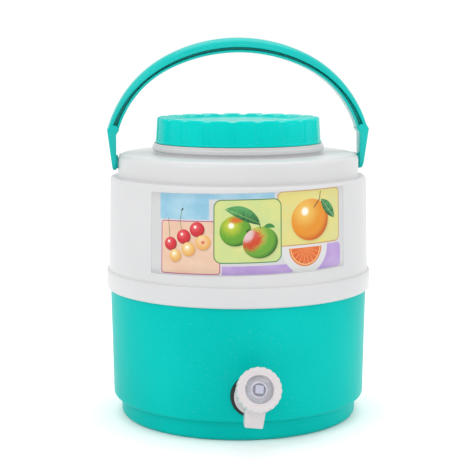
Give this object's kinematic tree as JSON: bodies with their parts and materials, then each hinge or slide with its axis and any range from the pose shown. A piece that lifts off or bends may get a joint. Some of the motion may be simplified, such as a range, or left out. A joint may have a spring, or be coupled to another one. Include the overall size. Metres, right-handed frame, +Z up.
{
  "type": "insulated water jug",
  "caption": "Insulated drum-shaped water jug with a two-tone shell, screw lid, swinging bail handle and a push-button tap near the base.",
  "frame": {"origin": "centre of the round foot, in the plane of the floor", "axes": "+Z up along the jug's axis, the tap faces -Y, the handle's pivots lie along X"},
  "size_m": [0.2644, 0.3124, 0.3768],
  "materials": {
    "shell_teal": "smooth moulded polypropylene",
    "shell_white": "smooth moulded polypropylene",
    "tank_white": "food-grade moulded plastic",
    "foam": "poured rigid foam",
    "label_print": "glossy printed film with fruit pictures",
    "lid_teal": "smooth moulded polypropylene",
    "handle_teal": "smooth moulded polypropylene",
    "tap_white": "smooth moulded plastic",
    "button_plastic": "smooth moulded plastic",
    "silicone": "translucent silicone",
    "gasket": "soft silicone",
    "black_rubber": "matt rubber"
  },
  "bodies": {
    "jug": {"lower_shell": "shell_teal", "upper_shell": "shell_white", "inner_tank": "tank_white", "insulation_foam": "foam", "fill_plug": "shell_teal", "label": "label_print", "tap_body": "tap_white", "tap_outer_seal": "black_rubber", "tap_inner_seal": "black_rubber", "tap_lock_nut": "tap_white", "tap_ring_nut": "tap_white", "tap_diaphragm": "silicone"},
    "lid_seal": {"lid_gasket": "gasket"},
    "lid": {"lid_cap": "lid_teal", "lid_pan": "tank_white", "lid_foam": "foam"},
    "handle": {"handle": "handle_teal"},
    "tap_button": {"tap_plunger": "button_plastic", "valve_seal": "black_rubber"}
  },
  "joints": [
    {"name": "lid_lift", "type": "slide", "parent": "jug", "child": "lid_seal", "axis": [0, 0, 1], "range_m": [0, 0.03601]},
    {"name": "lid_turn", "type": "hinge", "parent": "lid_seal", "child": "lid", "pos_m": [0, 0, 0.28], "axis": [0, 0, 1], "range_deg": [0, 1080]},
    {"name": "handle_swing", "type": "hinge", "parent": "jug", "child": "handle", "pos_m": [0, 0, 0.2548], "axis": [1, 0, 0], "range_deg": [-72, 72]},
    {"name": "tap_push", "type": "slide", "parent": "jug", "child": "tap_button", "axis": [-0.0398, 0.9245, -0.379], "range_m": [0, 0.0035], "stiffness_N_per_m": 1500}
  ],
  "couplings": [
    {"joint": "lid_lift", "follows": "lid_turn", "m_per_rad": 0.0019099}
  ]
}
